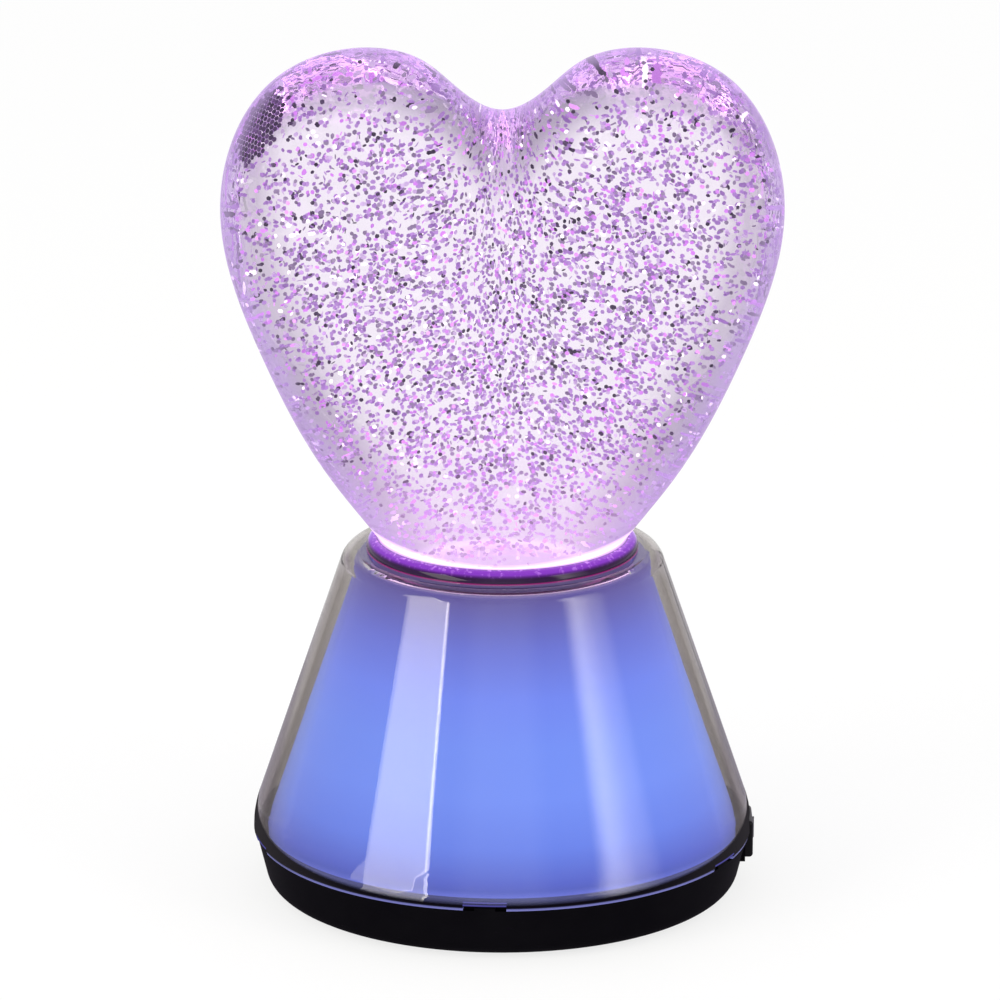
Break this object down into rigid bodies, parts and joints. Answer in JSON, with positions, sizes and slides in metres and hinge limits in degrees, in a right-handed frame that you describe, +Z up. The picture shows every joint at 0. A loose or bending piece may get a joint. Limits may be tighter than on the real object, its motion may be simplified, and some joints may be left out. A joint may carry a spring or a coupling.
{
  "type": "heart glitter lamp",
  "caption": "Table lamp with a clear liquid-filled heart of swirling flakes on a lit cone, over a black battery base with a side rocker switch.",
  "frame": {"origin": "on the table, under the middle of the lamp's base", "axes": "+Z up, the front towards -Y, the switch on +X"},
  "size_m": [0.1524, 0.138, 0.2355],
  "materials": {
    "black_abs": "fine moulded grain, matte black",
    "black_pc": "smooth black switch plastic",
    "smoked_gloss": "glossy dark collar",
    "clear_acrylic": "clear, lightly smoked, polished",
    "vessel_acrylic": "clear and polished",
    "frosted_pp": "frosted white, lit blue from inside",
    "water": "clear liquid, tinted by the light",
    "glitter_film": "metallised violet film, punched into hexagons",
    "rubber": "soft matte rubber",
    "silicone": "translucent silicone",
    "steel": "zinc plated",
    "magnet_nickel": "nickel plated magnet",
    "ferrite": "sintered ferrite",
    "white_abs": "white moulding",
    "clear_blade": "clear moulding",
    "board_green": "solder mask",
    "chip_black": "moulded epoxy",
    "light_pink": "lit pink light",
    "light_blue": "lit blue light",
    "brass_contact": "sprung brass",
    "cell_jacket": "printed steel can, plain",
    "lead_red": "insulated wire"
  },
  "bodies": {
    "lamp": {"base_bowl": "black_abs", "rubber_feet": "rubber", "battery_door": "black_abs", "door_screw": "steel", "battery_tray": "white_abs", "cell_front": "cell_jacket", "cell_middle": "cell_jacket", "cell_back": "cell_jacket", "flat_contacts": "brass_contact", "leaf_contacts": "brass_contact", "outer_shell": "clear_acrylic", "diffuser_cone": "frosted_pp", "neck_collar": "smoked_gloss", "heart_vessel": "vessel_acrylic", "water_fill": "water", "glitter_flakes": "glitter_film", "neck_plug": "vessel_acrylic", "plug_seal": "silicone", "filler_stopper": "silicone", "impeller_pin": "steel", "support_tower": "white_abs", "tower_screws": "steel", "motor_can": "steel", "motor_end_cap": "chip_black", "motor_magnets": "ferrite", "control_board": "board_green", "board_screws": "steel", "cone_lights": "light_blue", "driver_chip": "chip_black", "capacitor": "cell_jacket", "lead_sockets": "white_abs", "ring_board": "board_green", "heart_lights": "light_pink", "switch_housing": "black_pc", "switch_terminals": "brass_contact", "motor_leads": "lead_red", "light_leads": "lead_red", "switch_leads": "lead_red", "battery_leads": "lead_red"},
    "drive": {"motor_rotor": "steel", "motor_shaft": "steel", "magnet_carrier": "white_abs", "drive_magnets": "magnet_nickel"},
    "stirrer": {"impeller": "clear_blade", "impeller_magnets": "magnet_nickel"},
    "rocker": {"switch_rocker": "black_pc"}
  },
  "joints": [
    {"name": "drive_spin", "type": "hinge", "parent": "lamp", "child": "drive", "pos_m": [0, 0, 0.0796], "axis": [0, 0, 1], "continuous": true},
    {"name": "stirrer_spin", "type": "hinge", "parent": "lamp", "child": "stirrer", "pos_m": [0, 0, 0.0853], "axis": [0, 0, 1], "continuous": true},
    {"name": "rocker_tilt", "type": "hinge", "parent": "lamp", "child": "rocker", "pos_m": [0.0659, 0, 0.0138], "axis": [0, 0, -1], "range_deg": [-16, 0]}
  ],
  "couplings": [
    {"joint": "stirrer_spin", "follows": "drive_spin", "ratio": 1}
  ]
}
